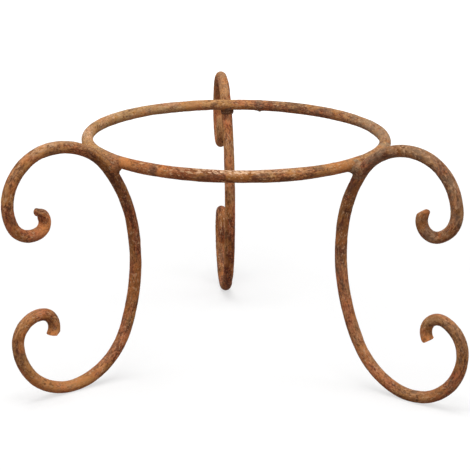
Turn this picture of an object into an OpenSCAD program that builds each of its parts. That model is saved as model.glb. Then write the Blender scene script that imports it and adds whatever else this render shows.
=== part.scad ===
// Low wrought-iron plant stand: a hoop of round bar, carried by three legs of the same bar.
// Each leg is one bar bent to a C, with a large scroll at its top, another at its foot, and a small
// curl at each end. The hoop lies in the crook that each leg has high on its inner side, and is
// welded there.
//
// Millimetres and degrees. The origin is the centre of the hoop, +Z is up, and the floor is level.
// Where a size has three values, they are for the left, the right and the back leg: the legs were bent
// by hand over one former, so they differ a little.

/* [Bar] */
// Diameter of the round bar
bar_d = 10; // [6:0.5:14]
// How much each bend swells the bar where it starts and ends, on the radius
bend_swell = 0.15; // [0.1:0.05:0.3]

/* [Hoop] */
// Diameter of the hoop, measured across the centreline of its bar
hoop_d = 270; // [220:5:340]
// Height of the hoop's centre above the floor
hoop_height = 204.5; // [190:0.5:230]
// How far the hoop tips forward: its back stands higher than its front
hoop_tip = 2.2; // [0:0.1:5]
// Direction of the joint that closes the hoop, counter-clockwise from +X
seam_bearing = 80; // [60:5:88]

/* [Legs: left, right, back] */
// Direction in which each leg stands, counter-clockwise from +X
leg_bearing = [221.5, 318, 94]; // [0:0.5:359]
// How far each leg is turned out of line with the middle of the hoop
leg_turn = [-1, 4, 1.5]; // [-5:0.5:5]
// How far each leg leans sideways
leg_lean = [3, -1.5, 1]; // [-4:0.5:4]
// How far below level the hoop lies in each leg's crook
crook_angle = [38, 34, 42]; // [28:1:44]

/* [Upper scroll: left, right, back] */
// Bend radius of the shoulder, which rises from the crook
shoulder_r = [67.5, 54, 74]; // [40:0.5:90]
// Angle of the shoulder
shoulder_a = [61, 68, 61]; // [50:1:75]
// Bend radius of the crown, at the top of the leg
crown_r = [43.5, 45, 47.5]; // [35:0.5:70]
// Angle of the crown
crown_a = [59, 49, 55]; // [40:1:65]
// Bend radius of the outermost stretch, which turns down
nose_r = [39.5, 48.5, 39.5]; // [30:0.5:55]
// Angle of the outermost stretch
nose_a = [50, 27, 41]; // [15:1:70]
// Bend radius of the curl
curl_r = [20.5, 23.5, 24.5]; // [16:0.5:30]
// Angle of the curl
curl_a = [83, 75, 81]; // [60:1:95]
// Bend radius of the tip inside the curl
tip_r = [9, 12.5, 14.5]; // [8:0.5:16]
// Angle of the tip
tip_a = [129, 129, 128]; // [90:1:140]

/* [Lower scroll: left, right, back] */
// Bend radius of the neck, which leads down from the crook
neck_r = [138, 116, 116]; // [90:1:160]
// Angle of the neck
neck_a = [25, 26, 30]; // [15:1:34]
// Angle of the long upright. Its bend radius follows from the height of the hoop
upright_a = [32, 36, 42]; // [25:1:48]
// Bend radius of the heel, which turns the upright outwards
heel_r = [61.5, 69.5, 74.5]; // [50:0.5:90]
// Angle of the heel
heel_a = [50, 42, 41]; // [30:1:55]
// Bend radius of the stretch that stands on the floor
foot_r = [55.5, 48.5, 50.5]; // [40:0.5:70]
// Angle of the stretch that stands on the floor
foot_a = [105, 109, 105]; // [90:1:115]
// Bend radius of the lower curl
low_curl_r = [21.5, 28, 25.5]; // [18:0.5:32]
// Angle of the lower curl
low_curl_a = [100, 70, 92]; // [60:1:110]
// Bend radius of the tip inside the lower curl
low_tip_r = [14, 13, 18]; // [10:0.5:20]
// Angle of the tip inside the lower curl
low_tip_a = [113, 149, 130]; // [90:1:150]
// How deep each foot is worn flat
foot_wear = 0.4; // [0.2:0.1:0.8]

/* [Welds: left, right, back] */
// Radius of the weld metal round each crook
weld_r = [7.5, 8, 7.5]; // [6:0.5:10]
// Radius of the web of weld metal under the hoop
web_r = [4.5, 4.5, 4.5]; // [3:0.5:6]
// How far the weld metal stands proud round the joint that closes the hoop
seam_proud = 0.5; // [0.3:0.1:1.2]
// Radius of the drip under that joint
drip_r = 1.8; // [1.2:0.1:3]

/* [Hidden] */

// Facets: round a section, round a ball, and along the hoop and the bends
section_fn = 36;
ball_fn = 48;
sweep_fn = 180;

LEFT = 0;
RIGHT = 1;
BACK = 2;

bar_r = bar_d / 2;
hoop_r = hoop_d / 2;
floor_z = -hoop_height;
// A bend stops this far short of the middle of the swelling at its end, which closes the gap
swell_gap = 2 * bend_swell;
// Clearance between the hoop and the swelling in a crook, which weld metal fills
crook_gap = 0.1;
crook_reach = bar_d + bend_swell + crook_gap;
// The web under the hoop lies this far down the upright from the middle of the weld
web_drop = 1.1 * bar_r;
// A block as wide as this takes in the whole stand
block_size = 3 * hoop_d;

iron_hoop = "#8a5f40";
iron_leg = "#80573c";
iron_weld = "#6e5744";

// Bends as [radius, angle], from the crook to the end of the bar
function upper_bends(leg) = [
    [shoulder_r[leg], shoulder_a[leg]],
    [crown_r[leg], crown_a[leg]],
    [nose_r[leg], nose_a[leg]],
    [curl_r[leg], curl_a[leg]],
    [tip_r[leg], tip_a[leg]]
];
function lower_bends(leg) = [
    [neck_r[leg], neck_a[leg]],
    [upright_r(leg), upright_a[leg]],
    [heel_r[leg], heel_a[leg]],
    [foot_r[leg], foot_a[leg]],
    [low_curl_r[leg], low_curl_a[leg]],
    [low_tip_r[leg], low_tip_a[leg]]
];

// A leg is drawn flat, with X outwards, Y upwards and the centre of the hoop's bar at its origin.
// Both halves start in the crook. The upper one goes up and turns right, the lower one down and left.
TURN_RIGHT = -1;
TURN_LEFT = 1;
function crook_point(leg) = crook_reach * [cos(crook_angle[leg]), -sin(crook_angle[leg])];
function upper_heading(leg) = 90 - crook_angle[leg];
function lower_heading(leg) = 270 - crook_angle[leg];

// From the start of a bend to its end
function bend_step(heading, turn, bend) = turn * bend[0]
    * [sin(heading + turn * bend[1]) - sin(heading), cos(heading) - cos(heading + turn * bend[1])];

// How far the bends after the upright reach down to where the foot runs level, from a heading
function foot_drop(leg, heading) = let (after_heel = heading + heel_a[leg])
    heel_r[leg] * (cos(after_heel) - cos(heading)) + foot_r[leg] * (1 - cos(after_heel));

// The upright's bend radius is the one that brings the foot to the floor
function upright_r(leg) = let (
    start = lower_heading(leg) + neck_a[leg],
    end = start + upright_a[leg],
    start_y = crook_point(leg).y - neck_r[leg] * (cos(start) - cos(lower_heading(leg))),
    foot_y = (floor_z - foot_wear + bar_r - hoop_point(leg_bearing[leg]).z) / cos(leg_lean[leg])
) (start_y - foot_drop(leg, end) - foot_y) / (cos(end) - cos(start));

// A point on the centreline of the hoop's bar
function hoop_point(bearing) = hoop_r
    * [cos(bearing), sin(bearing) * cos(hoop_tip), sin(bearing) * sin(hoop_tip)];

// The bent bar of the hoop
module hoop_bar() {
    rotate([hoop_tip, 0, 0])
        rotate_extrude($fn = sweep_fn)
            translate([hoop_r, 0])
                circle(bar_r, $fn = section_fn);
}

// One bend of bar, from the point start in the direction heading
module bent_bar(start, heading, turn, bend) {
    radius = bend[0];
    gap_angle = swell_gap / radius * 180 / PI;
    centre = start + turn * radius * [-sin(heading), cos(heading)];
    first_angle = turn == TURN_LEFT ? heading - 90 : heading + 90 - bend[1];
    translate([centre.x, centre.y, 0])
        rotate(first_angle + gap_angle)
            rotate_extrude(angle = bend[1] - 2 * gap_angle, $fn = sweep_fn)
                translate([radius, 0])
                    circle(bar_r, $fn = section_fn);
}

// A ball with its poles along a heading, so that what cuts it stays clear of them
module ball(at, heading, radius) {
    translate([at.x, at.y, 0])
        rotate(heading)
            rotate([0, 90, 0])
                sphere(radius, $fn = ball_fn);
}

// The slight swelling between two bends, which also rounds the end of a bar
module swelling(at, heading) {
    ball(at, heading, bar_r + bend_swell);
}

// A chain of bends, each one starting where the one before it ends
module bar_run(bends, start, heading, turn, rounded_end) {
    end = start + bend_step(heading, turn, bends[0]);
    end_heading = heading + turn * bends[0][1];
    last = len(bends) == 1;
    bent_bar(start, heading, turn, bends[0]);
    if (!last || rounded_end)
        swelling(end, end_heading);
    if (!last)
        bar_run([for (i = [1:len(bends) - 1]) bends[i]], end, end_heading, turn, rounded_end);
}

// Stands what is drawn flat for a leg on its bearing, against the hoop
module on_hoop(leg) {
    translate(hoop_point(leg_bearing[leg]))
        rotate([0, 0, leg_bearing[leg] + leg_turn[leg]])
            rotate([90 - leg_lean[leg], 0, 0])
                children();
}

// What the floor has worn off the feet
module floor_block() {
    translate([-block_size / 2, -block_size / 2, floor_z - block_size])
        cube(block_size);
}

// A leg: the upper half ends in a rounded tip, the lower half is cut off square
module leg(leg) {
    color(iron_leg)
        difference() {
            on_hoop(leg) {
                swelling(crook_point(leg), upper_heading(leg));
                bar_run(upper_bends(leg), crook_point(leg), upper_heading(leg), TURN_RIGHT, true);
                bar_run(lower_bends(leg), crook_point(leg), lower_heading(leg), TURN_LEFT, false);
            }
            floor_block();
        }
}

// The stretch of a leg that its weld lies against
module crook_bar(leg) {
    swelling(crook_point(leg), upper_heading(leg));
    bent_bar(crook_point(leg), upper_heading(leg), TURN_RIGHT, upper_bends(leg)[0]);
    bent_bar(crook_point(leg), lower_heading(leg), TURN_LEFT, lower_bends(leg)[0]);
}

// Weld metal round the place where a leg touches the hoop, with a web in the corner under the hoop
module weld(leg) {
    middle = crook_point(leg) / 2;
    web = middle + web_drop * [cos(lower_heading(leg)), sin(lower_heading(leg))];
    color(iron_weld)
        difference() {
            on_hoop(leg) {
                ball(middle, -crook_angle[leg], weld_r[leg]);
                ball(web, lower_heading(leg), web_r[leg]);
            }
            hoop_bar();
            on_hoop(leg)
                crook_bar(leg);
        }
}

module hoop() {
    color(iron_hoop)
        hoop_bar();
}

// Weld metal round the joint that closes the hoop, with a drip under it
module hoop_seam_weld() {
    color(iron_weld)
        difference() {
            translate(hoop_point(seam_bearing)) {
                sphere(bar_r + seam_proud, $fn = ball_fn);
                translate([0, 0, -bar_r])
                    sphere(drip_r, $fn = ball_fn);
            }
            hoop_bar();
        }
}

hoop();
leg(LEFT);  // leg_left
leg(RIGHT);  // leg_right
leg(BACK);  // leg_back
weld(LEFT);  // weld_left
weld(RIGHT);  // weld_right
weld(BACK);  // weld_back
hoop_seam_weld();
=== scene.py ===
"""The looks of a low plant stand: a hoop of round bar that a pot sits in, on three legs of the same bar
bent to scrolls, all of it bare iron under matt rust.

Every piece is a surface worked out with numpy. A bar is a round section carried along its bends. A weld is
the distance, in each direction from its middle, to the blended surface of the bars that it joins.
Sizes are in millimetres and angles in degrees until a mesh is made, which is in metres.
"""

import math
from collections import namedtuple

import bpy
import numpy as np
from mathutils import Matrix, Vector


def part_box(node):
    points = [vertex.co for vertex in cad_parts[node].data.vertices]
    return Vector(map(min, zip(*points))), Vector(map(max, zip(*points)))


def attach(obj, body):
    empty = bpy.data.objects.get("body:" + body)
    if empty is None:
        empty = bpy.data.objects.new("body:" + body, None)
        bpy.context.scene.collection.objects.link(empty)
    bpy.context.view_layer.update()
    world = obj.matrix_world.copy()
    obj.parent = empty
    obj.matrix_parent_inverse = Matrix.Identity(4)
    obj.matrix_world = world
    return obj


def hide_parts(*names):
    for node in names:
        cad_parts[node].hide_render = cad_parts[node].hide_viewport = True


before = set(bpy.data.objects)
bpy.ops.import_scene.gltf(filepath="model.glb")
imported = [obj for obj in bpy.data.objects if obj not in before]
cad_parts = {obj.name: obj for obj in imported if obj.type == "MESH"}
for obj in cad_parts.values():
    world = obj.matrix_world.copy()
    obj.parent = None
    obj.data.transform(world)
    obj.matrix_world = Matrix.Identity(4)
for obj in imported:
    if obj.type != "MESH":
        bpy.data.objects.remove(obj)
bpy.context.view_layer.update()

MM = 0.001

# -------------------------------- sizes of the stand

HOOP_TIP = 2.2
SEAM_BEARING = 80

# The hoop's box is as wide as its bar's circle and one bar, and as high as its tip and one bar
hoop_low, hoop_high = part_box("hoop")
hoop_half_width = (hoop_high.x - hoop_low.x) / 2 / MM
hoop_half_height = (hoop_high.z - hoop_low.z) / 2 / MM
HOOP_R = (hoop_half_width - hoop_half_height) / (1 - math.sin(math.radians(HOOP_TIP)))
BAR_R = hoop_half_width - HOOP_R
FLOOR_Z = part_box("leg_left")[0].z / MM

# A leg's bar swells by this much at its bends and at its tip
BEND_SWELL = 0.15
# The gap between a leg's bar and the hoop's in the crook, and how far apart the middles of the bars are
CROOK_GAP = 0.1
CROOK_REACH = 2 * BAR_R + (BEND_SWELL + CROOK_GAP)
# A leg's upper end lies this far past the end of its last bend
TIP_REACH = BAR_R + BEND_SWELL
# How far the foot of a leg is worn flat
FOOT_WEAR = 0.4
# Rust stands this far proud of the true bar
SCALE_THICKNESS = 0.25

# Where a leg stands and how it is bent. Bends are (radius, angle) from the crook to the end of the bar:
# shoulder, crown, nose, curl and tip upwards; neck, upright, heel, foot, curl and tip downwards. The
# upright's radius isn't given, because it is the one that brings the foot to the floor.
Leg = namedtuple("Leg", "bearing turn lean crook upper neck upright_angle lower")
LEGS = {
    "left": Leg(221.5, -1, 3, 38, ((67.5, 61), (43.5, 59), (39.5, 50), (20.5, 83), (9, 129)),
                (138, 25), 32, ((61.5, 50), (55.5, 105), (21.5, 100), (14, 113))),
    "right": Leg(318, 4, -1.5, 34, ((54, 68), (45, 49), (48.5, 27), (23.5, 75), (12.5, 129)),
                 (116, 26), 36, ((69.5, 42), (48.5, 109), (28, 70), (13, 149))),
    "back": Leg(94, 1.5, 1, 42, ((74, 61), (47.5, 55), (39.5, 41), (24.5, 81), (14.5, 128)),
                (116, 30), 42, ((74.5, 41), (50.5, 105), (25.5, 92), (18, 130))),
}

# -------------------------------- fineness of the meshes

# A bar has a row of points at each step along it, and each row has this many points, at these angles
ROW_STEP = 0.5
COLUMNS = 44
AROUND = np.linspace(0, 2 * np.pi, COLUMNS, endpoint=False)
# Rows across the rounded edge of a bar's end, and as many across its face
END_ROWS = 9
# Two bends run into each other over this length
BEND_EASE = 5.0

# -------------------------------- noise, worked out in whole arrays

# What turns the coordinates and the seed of a cell into a random number: factors, a mask for 32 bits, and
# steps of a shift and a factor
CELL_PRIMES = np.array([73856093, 19349663, 83492791], np.int64)
SEED_PRIME = 2654435761
LOW_BITS = 0xFFFFFFFF
SCRAMBLES = ((16, 0x45D9F3B), (15, 0x2C1B3C6D))
LAST_SHIFT = 16
# A pit's radius, as a share of the pits' spacing, is the least one plus up to the spread
LEAST_PIT = 0.18
PIT_SPREAD = 0.34


def smooth_step(value, low, high):
    """0 below low, 1 above high, and 3t^2 - 2t^3 between them."""
    t = np.clip((value - low) / (high - low), 0, 1)
    return t * t * (3 - 2 * t)


def cell_random(cells, seed):
    """A number from 0 to 1 for each cell of space: its whole coordinates times three large primes are
    mixed with the seed, and shifts and products scramble the bits."""
    mixed = np.bitwise_xor.reduce(cells.astype(np.int64) * CELL_PRIMES, axis=-1) ^ (seed * SEED_PRIME)
    bits = (mixed & LOW_BITS).astype(np.uint64)
    for shift, factor in SCRAMBLES:
        bits = ((bits ^ (bits >> np.uint64(shift))) * np.uint64(factor)) & np.uint64(LOW_BITS)
    return (bits ^ (bits >> np.uint64(LAST_SHIFT))).astype(float) / LOW_BITS


def noise(points, size, seed):
    """Smooth noise from -1 to 1: random numbers at the corners of cubes of that size, blended across each
    cube with 6t^5 - 15t^4 + 10t^3 along each axis."""
    scaled = points / size
    base = np.floor(scaled)
    t = scaled - base
    blend = t**3 * (t * (6 * t - 15) + 10)
    total = np.zeros(points.shape[:-1])
    for corner in np.ndindex(2, 2, 2):
        weight = np.prod(np.where(corner, blend, 1 - blend), axis=-1)
        total += weight * cell_random(base + corner, seed)
    return 2 * total - 1


def layered_noise(points, size, seed, layers=3):
    """Noise at the size, at half of it and so on, each layer half as strong as the one before."""
    return sum(noise(points, size / 2**k, seed + k) / 2**k for k in range(layers))


def pits(points, spacing, seed):
    """Depth from 0 to 1 of round pits. Each cube of side spacing has one, its middle and width at random.
    Its depth is (1 - (distance / radius)^2)^2, and the deepest pit at a point counts."""
    scaled = points / spacing
    base = np.floor(scaled)
    depth = np.zeros(points.shape[:-1])
    for step in np.ndindex(3, 3, 3):
        cell = base + step - 1
        middle = cell + np.stack([cell_random(cell, seed + axis) for axis in range(3)], axis=-1)
        radius = LEAST_PIT + PIT_SPREAD * cell_random(cell, seed + 3)
        inside = np.clip(1 - np.sum((scaled - middle) ** 2, axis=-1) / radius**2, 0, None)
        depth = np.maximum(depth, inside**2)
    return depth


# -------------------------------- centrelines

# A bar's centreline: its points, the unit vectors along it, sideways in its plane and across its plane,
# and the length along it. All have one row for each point.
Line = namedtuple("Line", "points ahead side across length")


def turned(degrees):
    """Cosine and sine of an angle in degrees."""
    return math.cos(math.radians(degrees)), math.sin(math.radians(degrees))


def hoop_point(bearing):
    """The hoop's circle, turned about X by the tip: radius times (cos b, sin b cos tip, sin b sin tip)."""
    b, tip = np.radians(bearing), math.radians(HOOP_TIP)
    return HOOP_R * np.stack([np.cos(b), np.sin(b) * math.cos(tip), np.sin(b) * math.sin(tip)], axis=-1)


def hoop_line(first, last, step):
    """The hoop's centreline between two bearings. Sideways is outwards from the hoop's middle."""
    count = max(2, round(math.radians(last - first) * HOOP_R / step) + 1)
    bearing = np.linspace(first, last, count)
    points = hoop_point(bearing)
    side = points / HOOP_R
    across = np.tile([0, -turned(HOOP_TIP)[1], turned(HOOP_TIP)[0]], (count, 1))
    return Line(points, np.cross(across, side), side, across, np.radians(bearing) * HOOP_R)


def upright_radius(leg):
    """The radius at which the neck, upright, heel and foot together reach down to the floor."""
    neck_r, neck_a = leg.neck
    crook_heading = np.radians(270 - leg.crook)
    after_neck = crook_heading + np.radians(neck_a)
    after_upright = after_neck + np.radians(leg.upright_angle)
    (heel_r, heel_a), (foot_r, _) = leg.lower[:2]
    after_heel = after_upright + np.radians(heel_a)
    drop = heel_r * (np.cos(after_heel) - np.cos(after_upright)) + foot_r * (1 - np.cos(after_heel))
    foot_y = (FLOOR_Z - FOOT_WEAR + BAR_R - hoop_point(leg.bearing)[2]) / turned(leg.lean)[0]
    neck_y = -CROOK_REACH * turned(leg.crook)[1] - neck_r * (np.cos(after_neck) - np.cos(crook_heading))
    return (neck_y - drop - foot_y) / (np.cos(after_upright) - np.cos(after_neck))


def bends_below(leg):
    """The bends from the crook down to the lower end."""
    return (leg.neck, (upright_radius(leg), leg.upright_angle)) + leg.lower


def leg_plane(leg):
    """Origin and axes of the plane that a leg is bent in: outwards, upwards and across."""
    c, s = turned(leg.bearing + leg.turn)
    lean_c, lean_s = turned(leg.lean)
    outwards = np.array([c, s, 0])
    tangent = np.array([-s, c, 0])
    upwards = lean_c * np.array([0, 0, 1]) + lean_s * tangent
    return hoop_point(leg.bearing), outwards, upwards, np.cross(outwards, upwards)


def bend_curvature(at, bends):
    """1 / radius at each length from the crook: a step up and a step down for each bend, each step
    eased over BEND_EASE so that one bend runs into the next."""
    total = np.zeros_like(at)
    start = 0
    for radius, angle in bends:
        end = start + radius * math.radians(angle)
        rise = smooth_step(at, start - BEND_EASE / 2, start + BEND_EASE / 2) if start else 1
        fall = smooth_step(at, end - BEND_EASE / 2, end + BEND_EASE / 2)
        total += (rise - fall) / radius
        start = end
    return total


def run_length(bends):
    """The length of bar in a run of bends."""
    return sum(radius * math.radians(angle) for radius, angle in bends)


def leg_line(leg, upper_end, lower_end, step):
    """The leg's centreline, from so far above the crook to so far below it. It turns left all the way: the
    heading is that in the crook plus the integral of the curvature, and the point is the integral of the
    heading."""
    rows_above, rows_below = round(upper_end / step), round(lower_end / step)
    length = np.concatenate([np.linspace(-upper_end, 0, rows_above + 1)[:-1],
                             np.linspace(0, lower_end, rows_below + 1)])
    curvature = np.where(length < 0, bend_curvature(-length, leg.upper),
                         bend_curvature(length, bends_below(leg)))
    gap = np.diff(length)

    def integral(values):
        total = np.concatenate([[0], np.cumsum((values[1:] + values[:-1]) / 2 * gap)])
        return total - total[rows_above]

    heading = math.radians(270 - leg.crook) + integral(curvature)
    x = CROOK_REACH * turned(leg.crook)[0] + integral(np.cos(heading))
    y = -CROOK_REACH * turned(leg.crook)[1] + integral(np.sin(heading))
    origin, outwards, upwards, across = leg_plane(leg)

    def in_plane(a, b):
        return a[:, None] * outwards + b[:, None] * upwards

    return Line(origin + in_plane(x, y), in_plane(np.cos(heading), np.sin(heading)),
                in_plane(np.sin(heading), -np.cos(heading)), np.tile(across, (len(x), 1)), length)


# -------------------------------- the skin of a rusted bar

# A part of the skin's relief: the size of its lumps or the spacing of its pits, and how far it stands up or
# sinks in
Relief = namedtuple("Relief", "size depth")
UNEVEN_WIDTH = Relief(24, 0.16)
HAMMER_FLATS = Relief(10, 0.25)
PITS = Relief(2.6, 0.35)
SMALL_PITS = Relief(1.2, 0.15)
FLAKES = Relief(5.5, 0.1)
GRAIN = Relief(1.7, 0.05)
# The size of the patches that rust has eaten. They have all the large pits and all of the small ones' depth,
# of which this share is left elsewhere, and they lose this share of the flakes.
EATEN_SIZE = 15
SMALL_PITS_ELSEWHERE = 0.3
FLAKES_EATEN = 0.6
# The levels of noise between which flats, eaten patches and flakes fade in
FLAT_LEVELS = (0.15, 0.8)
EATEN_LEVELS = (-0.1, 0.45)
FLAKE_LEVELS = (0.12, 0.3)
# A small pit looks as dark as this share of a large one
SMALL_PIT_DARKNESS = 0.45
# A bar's pattern is this much longer along the bar than across it
PATTERN_STRETCH = 5 / 3

Skin = namedtuple("Skin", "relief pit flake")


def rusted_skin(place, seed):
    """How far the skin stands off the true bar, and where it is pitted and flaked. The bar's uneven width,
    flats left by the hammer, pits in the patches that rust has eaten, raised flakes and a fine grain
    are added up. The place is the point in the straight bar, which is shortened to stretch the pattern."""
    shortened = place / np.array([PATTERN_STRETCH, 1, 1])
    width = UNEVEN_WIDTH.depth * layered_noise(shortened, UNEVEN_WIDTH.size, seed, 2)
    flats = -HAMMER_FLATS.depth * smooth_step(noise(shortened, HAMMER_FLATS.size, seed + 10), *FLAT_LEVELS)
    eaten = smooth_step(layered_noise(shortened, EATEN_SIZE, seed + 20), *EATEN_LEVELS)
    pit = pits(shortened, PITS.size, seed + 30) * eaten
    small_pit = (pits(shortened, SMALL_PITS.size, seed + 40)
                 * (SMALL_PITS_ELSEWHERE + (1 - SMALL_PITS_ELSEWHERE) * eaten))
    flake = (smooth_step(layered_noise(shortened, FLAKES.size, seed + 50), *FLAKE_LEVELS)
             * (1 - FLAKES_EATEN * eaten))
    grain = GRAIN.depth * layered_noise(shortened, GRAIN.size, seed + 60, 2)
    relief = (SCALE_THICKNESS + width + flats + grain + FLAKES.depth * flake - PITS.depth * pit
              - SMALL_PITS.depth * small_pit)
    return Skin(relief, np.clip(pit + SMALL_PIT_DARKNESS * small_pit, 0, 1), flake)


# How rust changes along a bar: its tone (below 0 darker, above 0 paler), which in places is raised as painted
# light or lowered as painted shade rather than rust, its hue (below 0 redder, above 0 more golden), how far
# it is rubbed to cream flecks, which on tops are partly a painted highlight, how far it is greyed and how far
# it is bright orange.
# Each is a list of (place, amount) stops. The place is the length from the crook on a leg, where the upper
# half is below 0, and the bearing on the hoop.
Wear = namedtuple("Wear", "tone hue rub grey bright")


def worn(stops, at):
    """The amount at each place, in a straight line from stop to stop, the same all round the bar."""
    places, amounts = zip(*stops)
    return np.tile(np.interp(at, places, amounts)[:, None], (1, COLUMNS))


def bar_masks(skin, outward, wear, at):
    """What the material reads at each point of a bar."""
    return {"pit": skin.pit, "flake": skin.flake, "upward": outward[..., 2],
            **{key: worn(stops, at) for key, stops in wear._asdict().items()}}


def off_the_line(line):
    """The direction from a line to each point round it: cos a sideways and sin a across."""
    return np.cos(AROUND)[:, None] * line.side[:, None] + np.sin(AROUND)[:, None] * line.across[:, None]


# How an end of a bar is finished: how far its edge is rounded, how wide it is left in the plane of its
# scroll and across it, as shares of the bar, over what length it tapers, how far the cut slants, how deep
# it is pinched behind the end on the inside of the scroll, how bright its rust is and where it is chipped
End = namedtuple("End", "edge wide thick taper slant pinch bright chips")
# The pinch is deepest this far from the end and fades over this length to each side
PINCH_AT = 5.0
PINCH_LENGTH = 2.6
# The bright rust fades out over this length from an end
BRIGHT_LENGTH = 8
# A chip is a plane through a point near the end, which takes off all that lies beyond it, as far back as
# CHIP_REACH. The point and the plane's outward direction are (ahead, sideways, across) from the end's middle.
Chip = namedtuple("Chip", "point direction")
NO_CHIPS = ()
CHIP_REACH = 9


def end_rows(end):
    """The rows that close a bar: the edge is a quarter circle, and the face inside it is flat. Returns how
    far each row lies past the last one of the bar, and its width as a share of the end's."""
    t = np.radians(np.linspace(0, 90, END_ROWS)[1:])
    advance = end.edge * np.sin(t)
    share = 1 - end.edge / BAR_R * (1 - np.cos(t))
    face = share[-1] * np.linspace(1, 0, END_ROWS)[1:-1]
    return np.concatenate([advance, np.full(len(face), advance[-1])]), np.concatenate([share, face])


def bar_with_ends(line, ends):
    """The bar's rows with those that close its two ends, and each row's width as a share of the bar."""
    rows, shares = [line], [np.ones(len(line.length))]
    for which, way, end in ((0, -1, ends[0]), (-1, 1, ends[1])):
        advance, share = end_rows(end)
        added = Line(line.points[which] + way * advance[:, None] * line.ahead[which],
                     *(np.tile(part[which], (len(advance), 1)) for part in line[1:4]),
                     line.length[which] + way * advance)
        if which == 0:
            rows.insert(0, Line(*(part[::-1] for part in added)))
            shares.insert(0, share[::-1])
        else:
            rows.append(added)
            shares.append(share)
    return Line(*(np.concatenate(parts) for parts in zip(*rows))), np.concatenate(shares)


def closed_bar(line, ends, wear, seed):
    """A round section carried along a line, with both ends closed. Each row is the point plus the radius
    times cos a sideways and sin a across, and the rusted skin is added along the same direction."""
    whole, share = bar_with_ends(line, ends)
    wide, thick, slant, pinch, bright = (np.zeros(len(share)) for _ in range(5))
    for limit, way, end in ((whole.length[0], 1, ends[0]), (whole.length[-1], -1, ends[1])):
        from_end = way * (whole.length - limit)
        near = 1 - smooth_step(from_end, 0, end.taper)
        wide += near * (end.wide - 1)
        thick += near * (end.thick - 1)
        slant -= way * near * end.slant
        pinch += end.pinch * np.exp(-((from_end - PINCH_AT) / PINCH_LENGTH) ** 2)
        bright += end.bright * (1 - smooth_step(from_end, 0, BRIGHT_LENGTH))
    sideways = np.cos(AROUND) * (share * (1 + wide))[:, None]
    across = np.sin(AROUND) * (share * (1 + thick))[:, None]
    place = np.stack([np.broadcast_to(whole.length[:, None], sideways.shape),
                      BAR_R * np.cos(AROUND) * share[:, None],
                      BAR_R * np.sin(AROUND) * share[:, None]], axis=-1)
    skin = rusted_skin(place, seed)
    outward = off_the_line(whole)
    points = (whole.points[:, None]
              + BAR_R * (sideways[..., None] * whole.side[:, None]
                         + across[..., None] * whole.across[:, None])
              + (sideways * BAR_R * slant[:, None])[..., None] * whole.ahead[:, None]
              + (np.clip(-np.cos(AROUND), 0, None) * pinch[:, None])[..., None] * whole.side[:, None]
              + (skin.relief * share[:, None])[..., None] * outward)
    masks = bar_masks(skin, outward, wear, whole.length)
    masks["bright"] = np.maximum(masks["bright"], bright[:, None])
    return points, place, masks


def chipped(points, line, which, chips):
    """What lies beyond each chip's plane is put back onto it, within CHIP_REACH of the bar's end."""
    way = -1 if which == 0 else 1
    axes = np.stack([way * line.ahead[which], line.side[which], line.across[which]])
    near = np.linalg.norm(points - line.points[which], axis=-1) < CHIP_REACH
    for chip in chips:
        direction = np.array(chip.direction) / np.linalg.norm(chip.direction) @ axes
        beyond = np.clip((points - line.points[which] - np.array(chip.point) @ axes) @ direction, 0, None)
        points = points - (near * beyond)[..., None] * direction
    return points


# -------------------------------- meshes


def tube_faces(rows, columns, closed):
    """The quads between each row and the next, and between the last row and the first if it is closed."""
    row = np.arange(rows if closed else rows - 1)[:, None]
    column = np.arange(columns)[None, :]
    next_row, next_column = (row + 1) % rows, (column + 1) % columns
    corners = (row * columns + column, row * columns + next_column,
               next_row * columns + next_column, next_row * columns + column)
    return np.stack(np.broadcast_arrays(*corners), axis=-1).reshape(-1, 4)


def cap_faces(ring, pole, flip):
    """Triangles from a ring of points to the point that closes it."""
    after = np.roll(ring, -1)
    fan = np.stack([ring, after, np.full(len(ring), pole)], axis=-1)
    return fan[:, ::-1] if flip else fan


def make_piece(name, points, faces, attributes, material, nodes):
    """Makes the mesh in metres, gives it its masks, and sets it in the frame as a stand-in for its nodes.
    The faces are turned over if the volume that they enclose comes out below 0."""
    triangles = np.concatenate([part[:, [0, k, k + 1]]
                                for part in faces for k in range(1, part.shape[1] - 1)])
    a, b, c = (points[triangles[:, k]] for k in range(3))
    if np.sum(np.cross(a, b) * c) < 0:
        faces = [part[:, ::-1] for part in faces]
    mesh = bpy.data.meshes.new(name)
    mesh.from_pydata(points * MM, [], [tuple(f) for part in faces for f in part.tolist()])
    for key, values in attributes.items():
        kind, field = ("FLOAT_VECTOR", "vector") if values.ndim == 2 else ("FLOAT", "value")
        attribute = mesh.attributes.new(key, kind, "POINT")
        attribute.data.foreach_set(field, values.astype(np.float32).ravel())
    mesh.shade_smooth()
    mesh.materials.append(material)
    piece = bpy.data.objects.new(name, mesh)
    bpy.context.scene.collection.objects.link(piece)
    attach(piece, "root")
    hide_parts(*nodes)


def with_poles(points, place, masks):
    """Flattens a grid of rows to a list of points, and adds the middle of the first and of the last row."""

    def with_ends(grid):
        flat = grid.reshape(-1, *grid.shape[2:])
        return np.concatenate([flat, np.stack([grid[0].mean(axis=0), grid[-1].mean(axis=0)])])

    rows, columns = points.shape[:2]
    count = rows * columns
    faces = [tube_faces(rows, columns, closed=False),
             cap_faces(np.arange(columns), count, flip=True),
             cap_faces(np.arange(count - columns, count), count + 1, flip=False)]
    attributes = {"place": with_ends(place) * MM, **{key: with_ends(values) for key, values in masks.items()}}
    return with_ends(points), faces, attributes


# -------------------------------- materials

# The lumps of a noise: how many go to the metre, how many finer layers they have and how strong those are,
# and how many times longer the lumps are along the bar than across it
Lumps = namedtuple("Lumps", "scale detail roughness stretch", defaults=(1.0,))


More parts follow.
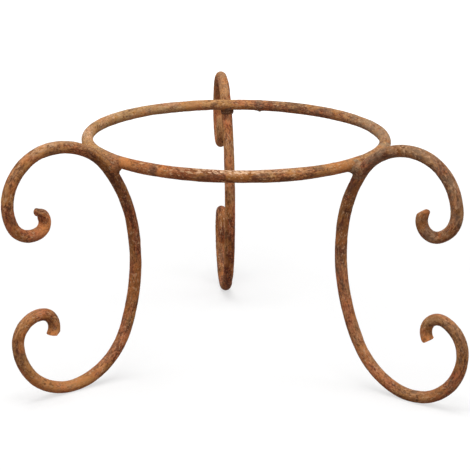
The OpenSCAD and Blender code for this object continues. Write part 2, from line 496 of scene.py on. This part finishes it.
class Wiring:
    """Adds nodes to a tree. An input is given as a socket to link from or as a constant to set."""

    def __init__(self, tree):
        self.tree = tree

    def set_input(self, socket, value):
        if isinstance(value, bpy.types.NodeSocket):
            self.tree.links.new(value, socket)
        else:
            socket.default_value = value

    def node(self, kind, inputs=(), **settings):
        made = self.tree.nodes.new(kind)
        for key, value in settings.items():
            setattr(made, key, value)
        for key, value in dict(inputs).items():
            self.set_input(next(s for s in made.inputs if key in (s.identifier, s.name)), value)
        return made

    def group(self, tree, **inputs):
        """A group's outputs. Its inputs are named with _ for a space."""
        made = self.node("ShaderNodeGroup", node_tree=tree)
        for key, value in inputs.items():
            self.set_input(made.inputs[key.replace("_", " ")], value)
        return made.outputs

    def math(self, operation, a, b):
        return self.node("ShaderNodeMath", {"Value": a, "Value_001": b}, operation=operation).outputs[0]

    def product(self, first, *others):
        for other in others:
            first = self.math("MULTIPLY", first, other)
        return first

    def mix(self, factor, a, b, blend_type="MIX"):
        """From color a to color b by the factor."""
        made = self.node("ShaderNodeMix", {"Factor_Float": factor, "A_Color": a, "B_Color": b},
                         data_type="RGBA", blend_type=blend_type)
        return next(s for s in made.outputs if s.identifier == "Result_Color")

    def step(self, value, low, high, to_low=0.0, to_high=1.0):
        """Rises smoothly from one amount to the other as the value goes from low to high."""
        made = self.node("ShaderNodeMapRange",
                         {"Value": value, "From Min": low, "From Max": high,
                          "To Min": to_low, "To Max": to_high},
                         interpolation_type="SMOOTHSTEP")
        return made.outputs["Result"]

    def noise(self, place, lumps, scale=None):
        """Noise of lumps of a kind, drawn out along the bar. Their scale may come from a socket."""
        shrunk = self.node("ShaderNodeVectorMath", {"Vector": place, "Vector_001": (1 / lumps.stretch, 1, 1)},
                           operation="MULTIPLY").outputs[0]
        made = self.node("ShaderNodeTexNoise",
                         {"Vector": shrunk, "Scale": lumps.scale if scale is None else scale,
                          "Detail": lumps.detail, "Roughness": lumps.roughness})
        return made.outputs["Fac"]


def new_group(name, inputs, outputs):
    """An empty shader node group with named sockets. Returns its wiring, its inputs and its output node."""
    tree = bpy.data.node_groups.new(name, "ShaderNodeTree")
    for key, (kind, default) in inputs.items():
        socket = tree.interface.new_socket(name=key, in_out="INPUT", socket_type="NodeSocket" + kind)
        if default is not None:
            socket.default_value = default
    for key, kind in outputs.items():
        tree.interface.new_socket(name=key, in_out="OUTPUT", socket_type="NodeSocket" + kind)
    wiring = Wiring(tree)
    return wiring, wiring.node("NodeGroupInput").outputs, wiring.node("NodeGroupOutput").inputs


def rgb(red, green, blue):
    """A color for a socket, in linear light and without transparency."""
    return (red, green, blue, 1.0)


# The noises that choose the tone of the rust, and how strongly each of them shifts it
TONE_NOISES = {
    "Patch Scale": (Lumps(60.0, 5.0, 0.6, 1.8), 0.18),
    "Mottle Scale": (Lumps(300.0, 3.0, 0.6, 2.2), 0.38),
    "Streak Scale": (Lumps(400.0, 3.0, 0.6, 6.0), 0.48),
    "Grain Scale": (Lumps(750.0, 2.0, 0.6, 1.6), 0.58),
}
# Rust is fully dark at the one tone, of the middle color at 0 and fully light at the other
DARK_AT = -0.085
LIGHT_AT = 0.095
# The slow change from red to gold, and the levels of noise between which it happens
WARMTH = Lumps(75.0, 4.0, 0.6, 2.0)
WARMTH_LEVELS = (0.38, 0.62)
RED_TINT = rgb(1.05, 0.79, 0.73)
GOLD_TINT = rgb(0.94, 1.02, 0.9)


def rust_tones_group():
    """Rust in three tones: patches, mottles, streaks along the bar and grains together choose between dark,
    middle and light. A slower noise tints it from red to gold."""
    w, given, result = new_group(
        "rust_tones",
        {"Place": ("Vector", None),
         **{key: ("Float", lumps.scale) for key, (lumps, _) in TONE_NOISES.items()},
         "Dark": ("Color", rgb(0.1, 0.04, 0.02)), "Middle": ("Color", rgb(0.24, 0.11, 0.05)),
         "Light": ("Color", rgb(0.4, 0.22, 0.11)), "Shift": ("Float", 0.0), "Hue": ("Float", 0.0)},
        {"Color": "Color"})
    place = given["Place"]
    tone = given["Shift"]
    for key, (lumps, weight) in TONE_NOISES.items():
        above_middle = w.math("SUBTRACT", w.noise(place, lumps, given[key]), 0.5)
        tone = w.math("ADD", tone, w.product(above_middle, weight))
    darker = w.mix(w.step(tone, DARK_AT, 0.0), given["Dark"], given["Middle"])
    three_tones = w.mix(w.step(tone, 0.0, LIGHT_AT), darker, given["Light"])
    warmth = w.math("ADD", w.noise(place, WARMTH), given["Hue"])
    tint = w.mix(w.step(warmth, *WARMTH_LEVELS), RED_TINT, GOLD_TINT)
    w.set_input(result["Color"], w.mix(1.0, three_tones, tint, "MULTIPLY"))
    return w.tree


# The noise whose peaks are specks, and the level above which they show
SPECKS = Lumps(600.0, 3.0, 0.62, 2.2)
SPECK_LEVEL = 0.6
# A speck fades in over this much of the noise
SPECK_EDGE = 0.06


def rust_specks_group():
    """Small specks, drawn out along the bar: noise above a level."""
    w, given, result = new_group(
        "rust_specks",
        {"Place": ("Vector", None), "Scale": ("Float", SPECKS.scale), "Level": ("Float", SPECK_LEVEL)},
        {"Mask": "Float"})
    speck = w.noise(given["Place"], SPECKS, given["Scale"])
    above = w.math("SUBTRACT", speck, given["Level"])
    w.set_input(result["Mask"], w.step(above, 0.0, SPECK_EDGE))
    return w.tree


# The crumbs and the lines along the bar in the finest relief, how much the lines count beside the crumbs,
# and how rough rust is in its hollows and on its crumbs
CRUMBS = Lumps(1000.0, 4.0, 0.65)
LINES = Lumps(800.0, 3.0, 0.6, 5.0)
LINE_SHARE = 0.5
CRUMB_LEVELS = (0.3, 0.7)
HOLLOW_ROUGHNESS = 0.95
CRUMB_ROUGHNESS = 0.72


def rust_grain_group():
    """The finest relief of the rust, and the roughness that goes with it."""
    w, given, result = new_group("rust_grain", {"Place": ("Vector", None)},
                                 {"Height": "Float", "Roughness": "Float"})
    crumbs = w.noise(given["Place"], CRUMBS)
    lines = w.noise(given["Place"], LINES)
    w.set_input(result["Height"], w.math("ADD", crumbs, w.product(lines, LINE_SHARE)))
    w.set_input(result["Roughness"], w.step(crumbs, *CRUMB_LEVELS, HOLLOW_ROUGHNESS, CRUMB_ROUGHNESS))
    return w.tree


RUST_TONES = rust_tones_group()
RUST_SPECKS = rust_specks_group()
RUST_GRAIN = rust_grain_group()

# What is laid over the three tones, the painted shade that undersides are multiplied by, and the tint of the
# sheen. The cream rub is partly a painted highlight on tops.
GOLD_RUST = rgb(0.5, 0.2, 0.045)
BRIGHT_RUST = rgb(0.8, 0.29, 0.09)
CREAM_RUB_AND_HIGHLIGHT = rgb(0.8, 0.52, 0.33)
GREY_SCALE = rgb(0.34, 0.245, 0.155)
DARK_SCALE = rgb(0.15, 0.073, 0.037)
PIT_BROWN = rgb(0.078, 0.027, 0.01)
# Painted shade: the colour that undersides are multiplied by, to darken them as if in shade
PAINTED_UNDERSIDE_SHADE = rgb(0.55, 0.42, 0.36)
RUST_DUST = rgb(0.9, 0.45, 0.15)

# The patches of pale bloom on what faces up, which are partly pale rust and partly a painted highlight on
# top, of grey scale and of bright rust, each with the levels of noise between which they fade in
PALE_BLOOM_AND_HIGHLIGHT = Lumps(90.0, 5.0, 0.68, 2.5)
PALE_BLOOM_AND_HIGHLIGHT_LEVELS = (0.42, 0.6)
GREY = Lumps(140.0, 4.0, 0.6)
GREY_LEVELS = (0.3, 0.6)
BRIGHT = Lumps(260.0, 4.0, 0.55)
BRIGHT_LEVELS = (0.32, 0.52)
# The scale and level of each kind of specks
GOLD_SPECKS = (110.0, 0.5)
RUB_AND_HIGHLIGHT_SPECKS = (640.0, 0.48)
PALE_SPECKS = (620.0, 0.55)
DARK_SPECKS = (600.0, 0.56)
# The clusters that pale and dark specks lie in, and how strong the specks are outside and inside them
PALE_CLUSTERS = Lumps(48.0, 4.0, 0.6)
DARK_CLUSTERS = Lumps(56.0, 4.0, 0.6)
CLUSTER_LEVELS = (0.42, 0.58)
CLUSTER_STRENGTHS = (0.15, 0.75)
# How far up a face points, -1 to 1, where it begins and where it fully counts as facing up, on top and
# facing down. Facing up and on top carry the painted highlight of the bloom and the rub, and facing down
# carries the painted shade of undersides.
FACES_UP = (-0.1, 0.9)
ON_TOP = (0.3, 0.75)
PAINTED_SHADE_BELOW = (0.15, -0.6)
# How dark a full pit is, and how dark the painted shade makes a full underside
PIT_DARKNESS = 0.6
PAINTED_UNDERSIDE_SHADE_STRENGTH = 0.8
# How strong the finest relief is, and how high in metres
GRAIN_STRENGTH = 0.7
GRAIN_RELIEF = 0.0003

# A finish of rust: its three tones and the pale bloom on what faces up, which is partly a painted highlight
# on top, and how strong the bloom, the gold patches and the dark flakes are
Finish = namedtuple("Finish", "dark middle light pale bloom gold flakes")


def rusted_iron(name, finish):
    """Tones of rust, under gold patches, dark flakes, pale bloom (partly a painted highlight on what faces
    up), grey scale, cream rubs (partly a painted highlight on tops), bright rust, pale and dark specks and
    dark pits, laid on in that order. What faces down is darkened with painted shade."""
    material = bpy.data.materials.new(name)
    material.use_nodes = True
    w = Wiring(material.node_tree)
    shader = w.tree.nodes["Principled BSDF"]

    def mask(key):
        return w.node("ShaderNodeAttribute", attribute_name=key).outputs["Fac"]

    def specks(scale, level):
        return w.group(RUST_SPECKS, Place=place, Scale=scale, Level=level)["Mask"]

    def clusters(lumps):
        return w.step(w.noise(place, lumps), *CLUSTER_LEVELS, *CLUSTER_STRENGTHS)

    def laid_on(under, over, *shares):
        return w.mix(w.product(*shares), under, over)

    place = w.node("ShaderNodeAttribute", attribute_name="place").outputs["Vector"]
    faces_up = w.step(mask("upward"), *FACES_UP)
    on_top = w.step(mask("upward"), *ON_TOP)
    painted_shade_below = w.step(mask("upward"), *PAINTED_SHADE_BELOW)
    bloom_and_highlight_patch = w.step(w.noise(place, PALE_BLOOM_AND_HIGHLIGHT), *PALE_BLOOM_AND_HIGHLIGHT_LEVELS)
    grey_patch = w.step(w.noise(place, GREY), *GREY_LEVELS)
    bright_patch = w.step(w.noise(place, BRIGHT), *BRIGHT_LEVELS)
    color = w.group(RUST_TONES, Place=place, Dark=finish.dark, Middle=finish.middle, Light=finish.light,
                    Shift=mask("tone"), Hue=mask("hue"))["Color"]
    color = laid_on(color, GOLD_RUST, specks(*GOLD_SPECKS), finish.gold)
    color = laid_on(color, DARK_SCALE, mask("flake"), finish.flakes)
    # Pale bloom on what faces up: partly pale rust, partly a painted highlight on top
    color = laid_on(color, finish.pale, faces_up, bloom_and_highlight_patch, finish.bloom)
    color = laid_on(color, GREY_SCALE, mask("grey"), grey_patch)
    # Cream rubs on tops: partly rubbed wear, partly a painted highlight where light falls on top
    color = laid_on(color, CREAM_RUB_AND_HIGHLIGHT, mask("rub"), on_top, specks(*RUB_AND_HIGHLIGHT_SPECKS))
    color = laid_on(color, BRIGHT_RUST, mask("bright"), bright_patch)
    color = laid_on(color, finish.pale, specks(*PALE_SPECKS), clusters(PALE_CLUSTERS))
    color = laid_on(color, PIT_BROWN, specks(*DARK_SPECKS), clusters(DARK_CLUSTERS))
    color = laid_on(color, PIT_BROWN, mask("pit"), PIT_DARKNESS)
    # Painted shade: what faces down is multiplied darker, as if in shade
    color = w.mix(w.product(painted_shade_below, PAINTED_UNDERSIDE_SHADE_STRENGTH), color, PAINTED_UNDERSIDE_SHADE, "MULTIPLY")
    w.set_input(shader.inputs["Base Color"], color)
    grain = w.group(RUST_GRAIN, Place=place)
    w.set_input(shader.inputs["Roughness"], grain["Roughness"])
    bump = w.node("ShaderNodeBump", {"Height": grain["Height"], "Strength": GRAIN_STRENGTH,
                                     "Distance": GRAIN_RELIEF})
    w.set_input(shader.inputs["Normal"], bump.outputs["Normal"])
    shader.inputs["Specular IOR Level"].default_value = 0.1
    shader.inputs["Sheen Weight"].default_value = 0.05
    shader.inputs["Sheen Tint"].default_value = RUST_DUST
    return material


hoop_iron = rusted_iron("hoop_iron", Finish(
    dark=rgb(0.14, 0.05, 0.022), middle=rgb(0.33, 0.135, 0.056), light=rgb(0.55, 0.27, 0.11),
    pale=rgb(0.62, 0.38, 0.21), bloom=0.2, gold=0.5, flakes=0.35))
leg_iron = rusted_iron("leg_iron", Finish(
    dark=rgb(0.11, 0.038, 0.018), middle=rgb(0.275, 0.105, 0.045), light=rgb(0.48, 0.21, 0.09),
    pale=rgb(0.55, 0.32, 0.18), bloom=0.3, gold=0.35, flakes=0.35))
weld_iron = rusted_iron("weld_iron", Finish(
    dark=rgb(0.08, 0.028, 0.016), middle=rgb(0.24, 0.088, 0.04), light=rgb(0.46, 0.22, 0.11),
    pale=rgb(0.5, 0.32, 0.19), bloom=0.3, gold=0.3, flakes=0.4))

# -------------------------------- the legs and the hoop

# Each leg's upper and lower end. The left leg's tip is drawn out and pinched, the other tips are worn round,
# and the lower ends are cut square, with a corner chipped off on the front legs.
ENDS = {
    "left": (End(0.2, 0.58, 0.8, 8, 0.1, 1.8, 0.0, (Chip((-0.7, 0, 0), (1, -0.25, 0)),)),
             End(0.6, 1.05, 1.04, 6, -0.3, 0.0, 1.0, (Chip((0, 3.1, -2.6), (0.3, 0.76, -0.65)),))),
    "right": (End(2.0, 0.85, 0.95, 9, -0.3, 0.0, 0.45, (Chip((0, 1.6, 0), (1, 1.2, 0.2)),)),
              End(1.3, 1.03, 1.03, 5, 0.0, 0.0, 1.0, (Chip((0, 3.4, 0), (1, 1.2, 0)),))),
    "back": (End(2.5, 0.75, 0.9, 12, 0.0, 0.0, 0.3, NO_CHIPS),
             End(1.0, 1.02, 1.02, 5, 0.0, 0.0, 0.8, NO_CHIPS)),
}
NOWHERE = ((0, 0), (1, 0))
LEG_WEAR = {
    "left": Wear(
        # The dip in tone round the crook, from -18 to 10, is partly painted shade under the crown and partly
        # darker rust
        tone=((-207, 0.05), (-203, -0.03), (-198, 0.06), (-187, 0.12), (-172, 0.06), (-150, 0.05),
              (-115, -0.02), (-80, 0.02), (-35, 0.04), (-18, -0.08), (10, -0.12), (70, -0.01), (190, 0.02),
              (225, 0.13), (270, 0.16), (300, 0.04), (366, 0.03), (374, 0.12), (378, 0.12)),
        hue=((-190, -0.08), (-140, -0.05), (-90, 0.05), (0, 0), (40, -0.14), (180, -0.14), (230, 0.1),
             (270, 0.1), (320, 0)),
        rub=((-100, 0), (-75, 0.4), (-45, 0)),
        grey=NOWHERE,
        bright=((-198, 0), (-187, 0.8), (-174, 0), (215, 0), (240, 0.35), (275, 0.35), (290, 0))),
    "right": Wear(
        tone=((-190, -0.12), (-172, -0.08), (-150, 0), (-110, -0.05), (-60, -0.08), (-15, -0.05), (30, -0.11),
              (70, -0.09), (95, 0.02), (190, 0.08), (225, 0.02), (374, 0.02)),
        hue=((-200, -0.12), (-180, -0.1), (-160, 0), (-20, 0), (0, -0.14), (90, -0.12), (120, 0)),
        rub=NOWHERE,
        grey=((-185, 0.3), (-60, 0.3), (-30, 0.45), (-10, 0.4), (10, 0.05), (70, 0.05), (100, 0.15),
              (300, 0.1)),
        bright=NOWHERE),
    "back": Wear(
        # The raised tone of the upper scroll, from -220 to -80, is painted light on the scroll's inside,
        # which lies in shade
        tone=((-220, 0.08), (-110, 0.12), (-80, 0.03), (0, 0.03), (90, 0.04), (130, -0.03), (400, -0.03)),
        hue=((90, 0), (130, -0.1), (400, -0.1)),
        rub=NOWHERE,
        grey=NOWHERE,
        bright=NOWHERE),
}
HOOP_WEAR = Wear(
    tone=((80, 0), (90, 0.05), (160, 0.08), (210, 0.08), (220, -0.15), (238, -0.18), (246, -0.11),
          (275, -0.03), (290, -0.03), (298, -0.07), (311, -0.07), (318, 0), (360, 0), (400, 0), (412, -0.06),
          (436, -0.06), (440, 0)),
    hue=((80, 0), (150, 0.08), (205, 0.05), (220, -0.1), (260, -0.1), (310, 0.06), (360, 0), (440, 0)),
    rub=((115, 0), (123, 0.5), (130, 0), (146, 0), (153, 0.8), (160, 0), (172, 0), (180, 0.6), (190, 0.6),
         (198, 0), (246, 0), (252, 0.3), (258, 0.9), (272, 1.0), (280, 0.4), (290, 0.4), (298, 0)),
    grey=((80, 0.2), (100, 0.1), (120, 0.4), (150, 0.3), (235, 0.1), (240, 0.3), (243, 0), (320, 0.1),
          (345, 0.6), (380, 0.7), (400, 0.3), (440, 0.2)),
    bright=((222, 0), (226, 0.5), (238, 0.3), (241, 0), (243, 0.6), (248, 0.2), (266, 0), (300, 0),
            (308, 0.4), (318, 0.1), (320, 0)))


def build_leg(key, leg, seed):
    """A bar along the leg's centreline, with its ends chipped and its foot worn flat on the floor."""
    upper_end, lower_end = ENDS[key]
    line = leg_line(leg, run_length(leg.upper) + TIP_REACH - upper_end.edge,
                    run_length(bends_below(leg)) - lower_end.edge, ROW_STEP)
    points, place, masks = closed_bar(line, (upper_end, lower_end), LEG_WEAR[key], seed)
    for which, end in ((0, upper_end), (-1, lower_end)):
        points = chipped(points, line, which, end.chips)
    points[..., 2] = np.maximum(points[..., 2], FLOOR_Z)
    points, faces, attributes = with_poles(points, place, masks)
    make_piece("scroll_leg_" + key, points, faces, attributes, leg_iron, ["leg_" + key])


def build_hoop(seed):
    """A round section carried round the hoop. The bar starts and ends under the weld that closes it."""
    line = Line(*(part[:-1] for part in hoop_line(SEAM_BEARING, SEAM_BEARING + 360, ROW_STEP)))
    place = np.stack(np.broadcast_arrays(line.length[:, None], BAR_R * np.cos(AROUND),
                                         BAR_R * np.sin(AROUND)), axis=-1)
    skin = rusted_skin(place, seed)
    outward = off_the_line(line)
    points = line.points[:, None] + (BAR_R + skin.relief)[..., None] * outward
    masks = bar_masks(skin, outward, HOOP_WEAR, np.degrees(line.length / HOOP_R))
    attributes = {"place": place.reshape(-1, 3) * MM,
                  **{key: values.ravel() for key, values in masks.items()}}
    faces = [tube_faces(len(line.length), COLUMNS, closed=True)]
    make_piece("pot_hoop", points.reshape(-1, 3), faces, attributes, hoop_iron, ["hoop"])


# -------------------------------- the welds

WELD_ROWS = 72
WELD_COLUMNS = 112
# A weld's surface is looked for at this many distances from its middle, and then between two of them
WELD_SCAN = 20
WELD_HALVINGS = 14
# Past its reach, a weld's surface sinks by this much times the square of the distance, into the bars
WELD_DIVE = 0.12
# The surface is looked for this far past a weld's reach
WELD_MARGIN = 9
# Drops run into the weld over this width
DROP_BLEND = 2.0
# The sizes of a weld's lumps, flakes and pits and of the patches that the pits lie in, how deep the pits
# are, and the levels of noise between which patches and flakes fade in
WELD_LUMP_SIZE = 4.5
WELD_FLAKE_SIZE = 5
WELD_PIT_SPACING = 2.2
WELD_PIT_PATCH = 5
WELD_PIT_DEPTH = 0.5
WELD_PATCH_LEVELS = (-0.5, 0.2)
WELD_FLAKE_LEVELS = (-0.05, 0.25)
# The bead's wear fades in where the surface stands this far off the bars
BEAD_FROM = 0.1
BEAD_FULL = 0.6
# The stretches of bar that a weld is measured from: the length along a leg on each side of the crook, and
# the bearing along the hoop on each side of a leg's weld and of the seam
LEG_REACH = 24
HOOP_REACH = 10
SEAM_REACH = 8

# How proud the weld metal stands on the bars, how far from its middle it stays so, how wide the fillets
# between the bars are, how lumpy it is, its wear where it is thickest (tone, hue, grey, bright), and drops
# of metal, each as (x, y, z, radius) from its middle
Weld = namedtuple("Weld", "proud reach fillet lumps tone hue grey bright drops")


def distance_to(points, line_points):
    """The least distance from each point to the points of a line."""
    offset = points[:, None] - line_points[None]
    return np.sqrt(np.min(np.einsum("ijk,ijk->ij", offset, offset), axis=1))


def blended(a, b, width):
    """The lesser of two distances, rounded off where they differ by less than the width: the lesser
    minus width / 4 times (1 - difference / width)^2."""
    share = np.clip(1 - np.abs(a - b) / width, 0, None)
    return np.minimum(a, b) - width / 4 * share**2


def outermost(field, middle, direction, reach):
    """How far the outermost zero of the field lies from the middle in each direction: the last of a row of
    distances that is inside, and then the middle of the gap to the next one, halved again and again. The
    row starts close to the middle, which is always inside."""
    gap = reach / WELD_SCAN
    inner = np.full(len(direction), gap / 4)
    for distance in gap * np.arange(1, WELD_SCAN):
        inside = field(middle + distance * direction) < 0
        inner = np.where(inside, distance, inner)
    outer = inner + gap
    for _ in range(WELD_HALVINGS):
        half = (inner + outer) / 2
        inside = field(middle + half[:, None] * direction) < 0
        inner, outer = np.where(inside, half, inner), np.where(inside, outer, half)
    return (inner + outer) / 2


def build_weld(name, node, middle, pole, side, bars, weld, seed):
    """A shell round the weld's middle. In each direction it ends where the blended distance to the bars,
    less the metal's thickness there, passes zero, and pits sink it a little. The direction is cos d along
    the pole and sin d round it, and both poles lie inside the bars."""
    third = np.cross(pole, side)
    down = np.linspace(0, np.pi, WELD_ROWS + 2)[1:-1, None]
    round_it = np.linspace(0, 2 * np.pi, WELD_COLUMNS, endpoint=False)[None, :]
    direction = (np.cos(down)[..., None] * pole + (np.sin(down) * np.cos(round_it))[..., None] * side
                 + (np.sin(down) * np.sin(round_it))[..., None] * third).reshape(-1, 3)

    def off_the_bars(points):
        return np.min([distance_to(points, bar) for bar in bars], axis=0) - BAR_R

    def field(points):
        away = np.linalg.norm(points - middle, axis=-1)
        distance = distance_to(points, bars[0])
        for bar in bars[1:]:
            distance = blended(distance, distance_to(points, bar), weld.fillet)
        metal = weld.proud + weld.lumps * layered_noise(points, WELD_LUMP_SIZE, seed)
        body = distance - BAR_R - metal + WELD_DIVE * np.clip(away - weld.reach, 0, None) ** 2
        for *place, radius in weld.drops:
            from_drop = np.linalg.norm(points - middle - np.array(place), axis=-1) - radius
            body = blended(body, from_drop, DROP_BLEND)
        return body

    points = middle + outermost(field, middle, direction, weld.reach + WELD_MARGIN)[:, None] * direction
    shape = (WELD_ROWS, WELD_COLUMNS)
    bead = smooth_step(off_the_bars(points), BEAD_FROM, BEAD_FULL).reshape(shape)
    points, direction = points.reshape(*shape, 3), direction.reshape(*shape, 3)
    pit = (pits(points, WELD_PIT_SPACING, seed + 7)
           * smooth_step(noise(points, WELD_PIT_PATCH, seed + 8), *WELD_PATCH_LEVELS))
    points = points - WELD_PIT_DEPTH * pit[..., None] * direction
    flake = smooth_step(layered_noise(points, WELD_FLAKE_SIZE, seed + 9), *WELD_FLAKE_LEVELS)
    masks = {"pit": pit, "flake": flake, "upward": direction[..., 2], "tone": weld.tone * bead,
             "hue": weld.hue * bead, "rub": np.zeros(shape), "grey": weld.grey * bead,
             "bright": weld.bright * bead}
    points, faces, attributes = with_poles(points, points, masks)
    make_piece(name, points, faces, attributes, weld_iron, [node])


LEG_WELDS = {
    "left": Weld(1.0, 6.8, 5.0, 1.0, -0.12, -0.2, 0.2, 0.3, ((1.2, -4.8, -1.4, 2.4), (2.8, -4.2, 3.6, 2.0))),
    "right": Weld(0.5, 7.6, 4.5, 0.8, -0.14, 0.0, 0.85, 0.1,
                  ((1.9, 8.4, 6.4, 2.4), (-5.4, -1.8, -2.0, 2.4), (-0.2, -4.6, 1.2, 2.9))),
    "back": Weld(0.3, 7.0, 5.5, 0.5, -0.12, 0.0, 0.2, 0.0, ((-3.2, -1.5, -3.8, 2.6), (4.6, -1.0, -4.2, 2.2))),
}
SEAM_WELD = Weld(0.4, 5.6, 2.0, 0.25, 0.0, 0.0, 0.4, 0.0, ((0, 0, -5.2, 1.2),))


def build_leg_weld(key, leg, seed):
    """The weld's middle lies in the crook, halfway between the middles of the two bars."""
    origin, outwards, upwards, across = leg_plane(leg)
    c, s = turned(leg.crook)
    crook_way = c * outwards - s * upwards
    middle = origin + crook_way * CROOK_REACH / 2
    bars = (hoop_line(leg.bearing - HOOP_REACH, leg.bearing + HOOP_REACH, ROW_STEP).points,
            leg_line(leg, LEG_REACH, LEG_REACH, ROW_STEP).points)
    build_weld("weld_bead_" + key, "weld_" + key, middle, crook_way, across, bars, LEG_WELDS[key], seed)


def build_seam_weld(seed):
    """The bead round the hoop's butt joint, with one drop under it."""
    line = hoop_line(SEAM_BEARING - SEAM_REACH, SEAM_BEARING + SEAM_REACH, ROW_STEP)
    half = len(line.length) // 2
    build_weld("hoop_seam_bead", "hoop_seam_weld", line.points[half], line.ahead[half], line.side[half],
               (line.points,), SEAM_WELD, seed)


# Every piece has seeds of its own
build_hoop(seed=11)
for number, (leg_name, leg_sizes) in enumerate(LEGS.items()):
    build_leg(leg_name, leg_sizes, seed=101 + 100 * number)
    build_leg_weld(leg_name, leg_sizes, seed=501 + 20 * number)
build_seam_weld(seed=701)

# -------------------------------- floor, light and camera

FLOOR_SIZE = 14.0
FLOOR_GREY = 0.4
# The floor glows for the camera alone, so that it is white there: by this much near the stand, and fully
# where the lamps no longer reach it
NEAR_GLOW = 0.6
NEAR_RADIUS = 0.3
FAR_RADIUS = 1.6


def white_to_camera(w, dim, bright):
    """Chooses the bright shader for what the camera sees, straight or in a glossy or clear surface."""
    path = w.node("ShaderNodeLightPath").outputs
    seen = w.math("MAXIMUM", path["Is Camera Ray"],
                  w.math("MAXIMUM", path["Is Glossy Ray"], path["Is Transmission Ray"]))
    return w.node("ShaderNodeMixShader", {"Fac": seen, "Shader": dim, "Shader_001": bright}).outputs[0]


def build_floor():
    """A plain floor that keeps the stand's shadow. Its glow grows with the distance from the middle."""
    material = bpy.data.materials.new("pale_floor")
    material.use_nodes = True
    w = Wiring(material.node_tree)
    plain = w.tree.nodes["Principled BSDF"]
    plain.inputs["Base Color"].default_value = rgb(FLOOR_GREY, FLOOR_GREY, FLOOR_GREY)
    plain.inputs["Roughness"].default_value = 1.0
    plain.inputs["Specular IOR Level"].default_value = 0.0
    at = w.node("ShaderNodeTexCoord").outputs["Object"]
    flat = w.node("ShaderNodeVectorMath", {"Vector": at, "Vector_001": (1, 1, 0)},
                  operation="MULTIPLY").outputs[0]
    away = w.node("ShaderNodeVectorMath", {"Vector": flat}, operation="LENGTH").outputs["Value"]
    strength = w.step(away, NEAR_RADIUS, FAR_RADIUS, NEAR_GLOW, 1.0)
    glow = w.node("ShaderNodeEmission", {"Color": rgb(1, 1, 1), "Strength": strength}).outputs[0]
    lit = w.node("ShaderNodeAddShader", {"Shader": plain.outputs[0], "Shader_001": glow}).outputs[0]
    shown = white_to_camera(w, plain.outputs[0], lit)
    w.set_input(w.tree.nodes["Material Output"].inputs["Surface"], shown)
    half = FLOOR_SIZE / 2
    mesh = bpy.data.meshes.new("floor")
    z = FLOOR_Z * MM
    corners = [(-half, -half, z), (half, -half, z), (half, half, z), (-half, half, z)]
    mesh.from_pydata(corners, [], [(0, 1, 2, 3)])
    mesh.materials.append(material)
    floor = bpy.data.objects.new("floor", mesh)
    bpy.context.scene.collection.objects.link(floor)


def build_world():
    """White for the camera, and a dim even light for the stand."""
    world = bpy.data.worlds.new("studio")
    bpy.context.scene.world = world
    world.use_nodes = True
    w = Wiring(world.node_tree)
    dim = w.tree.nodes["Background"]
    dim.inputs["Color"].default_value = rgb(1, 1, 1)
    dim.inputs["Strength"].default_value = WORLD_LIGHT
    white = w.node("ShaderNodeBackground", {"Color": rgb(1, 1, 1), "Strength": 1.0}).outputs[0]
    shown = white_to_camera(w, dim.outputs[0], white)
    w.set_input(w.tree.nodes["World Output"].inputs["Surface"], shown)


def build_lamp(name, at, size, power):
    """A square soft lamp that faces the middle of the stand."""
    data = bpy.data.lights.new(name, "AREA")
    data.shape = "SQUARE"
    data.size = size
    data.energy = power
    lamp = bpy.data.objects.new(name, data)
    bpy.context.scene.collection.objects.link(lamp)
    lamp.location = at
    aim = Vector((0, 0, FLOOR_Z * MM / 2)) - lamp.location
    lamp.rotation_euler = aim.to_track_quat("-Z", "Y").to_euler()


# How bright the surroundings are for the stand, and the lamps, as name, place, width and power
WORLD_LIGHT = 0.35
LAMPS = (
    ("overhead_lamp", (-0.2, -0.4, 2.2), 1.5, 38),
    ("front_lamp", (-0.5, -2.0, 0.9), 1.4, 10),
    ("left_lamp", (-1.9, -0.5, 0.8), 1.2, 4),
    ("right_lamp", (1.9, -0.5, 0.8), 1.2, 10),
)

# The camera looks down at the stand. Its sensor is a full frame's, 36 mm on the long side.
CAMERA_AT = (-0.0002, -1.2483, 0.2580)
CAMERA_DOWN = 15.693
CAMERA_ROLL = 0.591
LENS = 106.9
SENSOR = 36.0


def build_camera():
    """Level and facing the back, then turned down, and rolled about its own axis."""
    data = bpy.data.cameras.new("camera")
    data.lens = LENS
    data.sensor_width = SENSOR
    camera = bpy.data.objects.new("camera", data)
    bpy.context.scene.collection.objects.link(camera)
    camera.location = CAMERA_AT
    level = Matrix.Rotation(math.radians(90 - CAMERA_DOWN), 4, "X")
    rolled = level @ Matrix.Rotation(math.radians(CAMERA_ROLL), 4, "Z")
    camera.rotation_euler = rolled.to_euler()
    bpy.context.scene.camera = camera


build_floor()
build_world()
for lamp_sizes in LAMPS:
    build_lamp(*lamp_sizes)
build_camera()
bpy.context.scene.view_settings.view_transform = "Standard"
